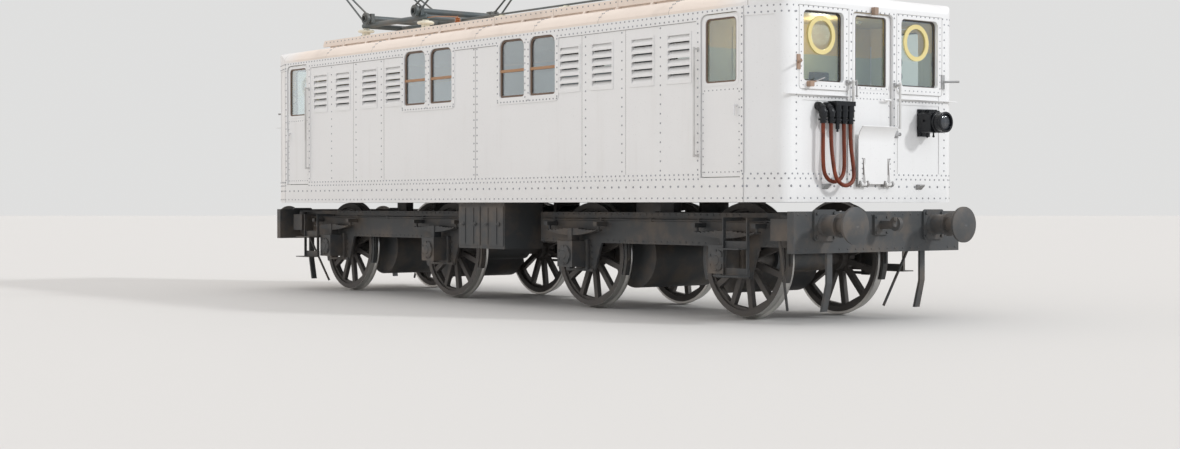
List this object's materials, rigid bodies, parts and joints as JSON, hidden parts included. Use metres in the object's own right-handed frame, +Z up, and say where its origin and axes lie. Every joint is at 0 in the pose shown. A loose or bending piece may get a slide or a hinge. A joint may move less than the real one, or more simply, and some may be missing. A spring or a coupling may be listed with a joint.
{
  "type": "electric locomotive",
  "caption": "Riveted box-cab electric locomotive on powered bogies, with gangway doors in its ends and raised diamond pantographs on the roof.",
  "frame": {"origin": "on the centreline at mid-length, level with the flange tips, 30 mm below the rail head", "axes": "+X forward out of the pictured cab end, +Y to the left side, +Z up"},
  "size_m": [12.3, 3.1646, 5.8388],
  "materials": {
    "body_paint": "satin, off-white",
    "roof_paint": "satin, pale warm grey",
    "frame_paint": "matt dark grey",
    "cab_paint": "satin, pale tan",
    "glass": "clear",
    "ring_paint": "gloss, pale yellow",
    "rail_steel": "worn light grey",
    "rail_wood": "varnished brown",
    "socket_black": "gloss black",
    "cable_rubber": "brown sheath",
    "insulator": "glazed cream porcelain",
    "pantograph_steel": "dark grey-green",
    "wheel_steel": "dull forged steel, bright tread"
  },
  "bodies": {
    "root": {"body_glass": "glass", "cab_bulkheads": "cab_paint", "cab_controls": "cab_paint", "end_fittings": "body_paint", "end_wall_front": "body_paint", "end_wall_rear": "body_paint", "equipment_block": "cab_paint", "handrails": "rail_steel", "headlamps": "socket_black", "jumper_cable_1": "cable_rubber", "jumper_cable_2": "cable_rubber", "jumper_sockets": "socket_black", "louvres": "body_paint", "pantograph_bases": "pantograph_steel", "pantograph_insulators": "insulator", "raised_roof": "roof_paint", "roof": "roof_paint", "roof_feet": "roof_paint", "side_wall_left": "body_paint", "side_wall_right": "body_paint", "sight_rings": "ring_paint", "underfloor_boxes": "frame_paint", "underframe": "frame_paint", "window_rails": "rail_wood"},
    "front_bogie": {"front_bogie_frame": "frame_paint", "front_bogie_springs": "frame_paint", "front_bogie_motors": "frame_paint", "front_buffers": "frame_paint"},
    "front_gangway_door": {"gangway_door_front": "body_paint", "gangway_glass_front": "glass"},
    "front_gangway_plate": {"gangway_plate_front": "body_paint"},
    "rear_bogie": {"rear_bogie_frame": "frame_paint", "rear_bogie_springs": "frame_paint", "rear_bogie_motors": "frame_paint", "rear_buffers": "frame_paint"},
    "rear_gangway_door": {"gangway_door_rear": "body_paint", "gangway_glass_rear": "glass"},
    "rear_gangway_plate": {"gangway_plate_rear": "body_paint"},
    "wheelset_1": {"wheelset_1": "wheel_steel"},
    "wheelset_2": {"wheelset_2": "wheel_steel"},
    "wheelset_3": {"wheelset_3": "wheel_steel"},
    "wheelset_4": {"wheelset_4": "wheel_steel"},
    "front_left_cab_door": {"cab_door_front_left": "body_paint", "cab_door_glass_front_left": "glass"},
    "front_right_cab_door": {"cab_door_front_right": "body_paint", "cab_door_glass_front_right": "glass"},
    "rear_left_cab_door": {"cab_door_rear_left": "body_paint", "cab_door_glass_rear_left": "glass"},
    "rear_right_cab_door": {"cab_door_rear_right": "body_paint", "cab_door_glass_rear_right": "glass"},
    "front_pantograph_lower_aft_arm": {"front_pantograph_lower_aft": "pantograph_steel"},
    "front_pantograph_lower_fore_arm": {"front_pantograph_lower_fore": "pantograph_steel"},
    "front_pantograph_upper_aft_arm": {"front_pantograph_upper_aft": "pantograph_steel"},
    "front_pantograph_upper_fore_arm": {"front_pantograph_upper_fore": "pantograph_steel"},
    "front_pantograph_collector": {"front_pantograph_head": "pantograph_steel"},
    "rear_pantograph_lower_aft_arm": {"rear_pantograph_lower_aft": "pantograph_steel"},
    "rear_pantograph_lower_fore_arm": {"rear_pantograph_lower_fore": "pantograph_steel"},
    "rear_pantograph_upper_aft_arm": {"rear_pantograph_upper_aft": "pantograph_steel"},
    "rear_pantograph_upper_fore_arm": {"rear_pantograph_upper_fore": "pantograph_steel"},
    "rear_pantograph_collector": {"rear_pantograph_head": "pantograph_steel"}
  },
  "joints": [
    {"name": "front_bogie_swivel", "type": "hinge", "parent": "root", "child": "front_bogie", "pos_m": [2.95, 0, 1.21], "axis": [0, 0, 1], "range_deg": [-4, 4]},
    {"name": "front_gangway_door_hinge", "type": "hinge", "parent": "root", "child": "front_gangway_door", "pos_m": [5.458, -0.326, 2.4], "axis": [0, 0, 1], "range_deg": [0, 90]},
    {"name": "front_gangway_plate_hinge", "type": "hinge", "parent": "root", "child": "front_gangway_plate", "pos_m": [5.6, 0, 1.53], "axis": [0, 1, 0], "range_deg": [0, 90]},
    {"name": "rear_bogie_swivel", "type": "hinge", "parent": "root", "child": "rear_bogie", "pos_m": [-2.95, 0, 1.21], "axis": [0, 0, 1], "range_deg": [-4, 4]},
    {"name": "rear_gangway_door_hinge", "type": "hinge", "parent": "root", "child": "rear_gangway_door", "pos_m": [-5.458, 0.326, 2.4], "axis": [0, 0, 1], "range_deg": [0, 90]},
    {"name": "rear_gangway_plate_hinge", "type": "hinge", "parent": "root", "child": "rear_gangway_plate", "pos_m": [-5.6, 0, 1.53], "axis": [0, -1, 0], "range_deg": [0, 90]},
    {"name": "axle_1_turn", "type": "hinge", "parent": "front_bogie", "child": "wheelset_1", "pos_m": [4.35, 0, 0.68], "axis": [0, 1, 0], "continuous": true},
    {"name": "axle_2_turn", "type": "hinge", "parent": "front_bogie", "child": "wheelset_2", "pos_m": [1.55, 0, 0.68], "axis": [0, 1, 0], "continuous": true},
    {"name": "axle_3_turn", "type": "hinge", "parent": "rear_bogie", "child": "wheelset_3", "pos_m": [-1.55, 0, 0.68], "axis": [0, 1, 0], "continuous": true},
    {"name": "axle_4_turn", "type": "hinge", "parent": "rear_bogie", "child": "wheelset_4", "pos_m": [-4.35, 0, 0.68], "axis": [0, 1, 0], "continuous": true},
    {"name": "front_left_cab_door_hinge", "type": "hinge", "parent": "root", "child": "front_left_cab_door", "pos_m": [4.379, 1.428, 2.4], "axis": [0, 0, -1], "range_deg": [0, 90]},
    {"name": "front_right_cab_door_hinge", "type": "hinge", "parent": "root", "child": "front_right_cab_door", "pos_m": [4.379, -1.428, 2.4], "axis": [0, 0, 1], "range_deg": [0, 90]},
    {"name": "rear_left_cab_door_hinge", "type": "hinge", "parent": "root", "child": "rear_left_cab_door", "pos_m": [-4.379, 1.428, 2.4], "axis": [0, 0, 1], "range_deg": [0, 90]},
    {"name": "rear_right_cab_door_hinge", "type": "hinge", "parent": "root", "child": "rear_right_cab_door", "pos_m": [-4.379, -1.428, 2.4], "axis": [0, 0, -1], "range_deg": [0, 90]},
    {"name": "front_pantograph_raise", "type": "hinge", "parent": "root", "child": "front_pantograph_lower_aft_arm", "pos_m": [2.67, 0, 4.1], "axis": [0, 1, 0], "range_deg": [-22, 18]},
    {"name": "front_pantograph_lower_fore_hinge", "type": "hinge", "parent": "root", "child": "front_pantograph_lower_fore_arm", "pos_m": [4.03, 0, 4.1], "axis": [0, 1, 0], "range_deg": [-18, 22]},
    {"name": "front_pantograph_elbow_aft", "type": "hinge", "parent": "front_pantograph_lower_aft_arm", "child": "front_pantograph_upper_aft_arm", "pos_m": [1.52513, 0, 4.81539], "axis": [0, 1, 0], "range_deg": [-33, 40.2]},
    {"name": "front_pantograph_elbow_fore", "type": "hinge", "parent": "front_pantograph_lower_fore_arm", "child": "front_pantograph_upper_fore_arm", "pos_m": [5.17486, 0, 4.81539], "axis": [0, 1, 0], "range_deg": [-40.2, 33]},
    {"name": "front_pantograph_head_pivot", "type": "hinge", "parent": "front_pantograph_upper_aft_arm", "child": "front_pantograph_collector", "pos_m": [3.15, 0, 5.67877], "axis": [0, 1, 0], "range_deg": [-18.2, 15]},
    {"name": "rear_pantograph_raise", "type": "hinge", "parent": "root", "child": "rear_pantograph_lower_aft_arm", "pos_m": [-4.03, 0, 4.1], "axis": [0, 1, 0], "range_deg": [-22, 18]},
    {"name": "rear_pantograph_lower_fore_hinge", "type": "hinge", "parent": "root", "child": "rear_pantograph_lower_fore_arm", "pos_m": [-2.67, 0, 4.1], "axis": [0, 1, 0], "range_deg": [-18, 22]},
    {"name": "rear_pantograph_elbow_aft", "type": "hinge", "parent": "rear_pantograph_lower_aft_arm", "child": "rear_pantograph_upper_aft_arm", "pos_m": [-5.17486, 0, 4.81539], "axis": [0, 1, 0], "range_deg": [-33, 40.2]},
    {"name": "rear_pantograph_elbow_fore", "type": "hinge", "parent": "rear_pantograph_lower_fore_arm", "child": "rear_pantograph_upper_fore_arm", "pos_m": [-1.52513, 0, 4.81539], "axis": [0, 1, 0], "range_deg": [-40.2, 33]},
    {"name": "rear_pantograph_head_pivot", "type": "hinge", "parent": "rear_pantograph_upper_aft_arm", "child": "rear_pantograph_collector", "pos_m": [-3.55, 0, 5.67877], "axis": [0, 1, 0], "range_deg": [-18.2, 15]}
  ],
  "couplings": [
    {"joint": "front_pantograph_lower_fore_hinge", "follows": "front_pantograph_raise", "ratio": -1},
    {"joint": "front_pantograph_elbow_aft", "follows": "front_pantograph_raise", "ratio": -1.82},
    {"joint": "front_pantograph_elbow_fore", "follows": "front_pantograph_raise", "ratio": 1.82},
    {"joint": "front_pantograph_head_pivot", "follows": "front_pantograph_raise", "ratio": 0.82},
    {"joint": "rear_pantograph_lower_fore_hinge", "follows": "rear_pantograph_raise", "ratio": -1},
    {"joint": "rear_pantograph_elbow_aft", "follows": "rear_pantograph_raise", "ratio": -1.82},
    {"joint": "rear_pantograph_elbow_fore", "follows": "rear_pantograph_raise", "ratio": 1.82},
    {"joint": "rear_pantograph_head_pivot", "follows": "rear_pantograph_raise", "ratio": 0.82}
  ]
}
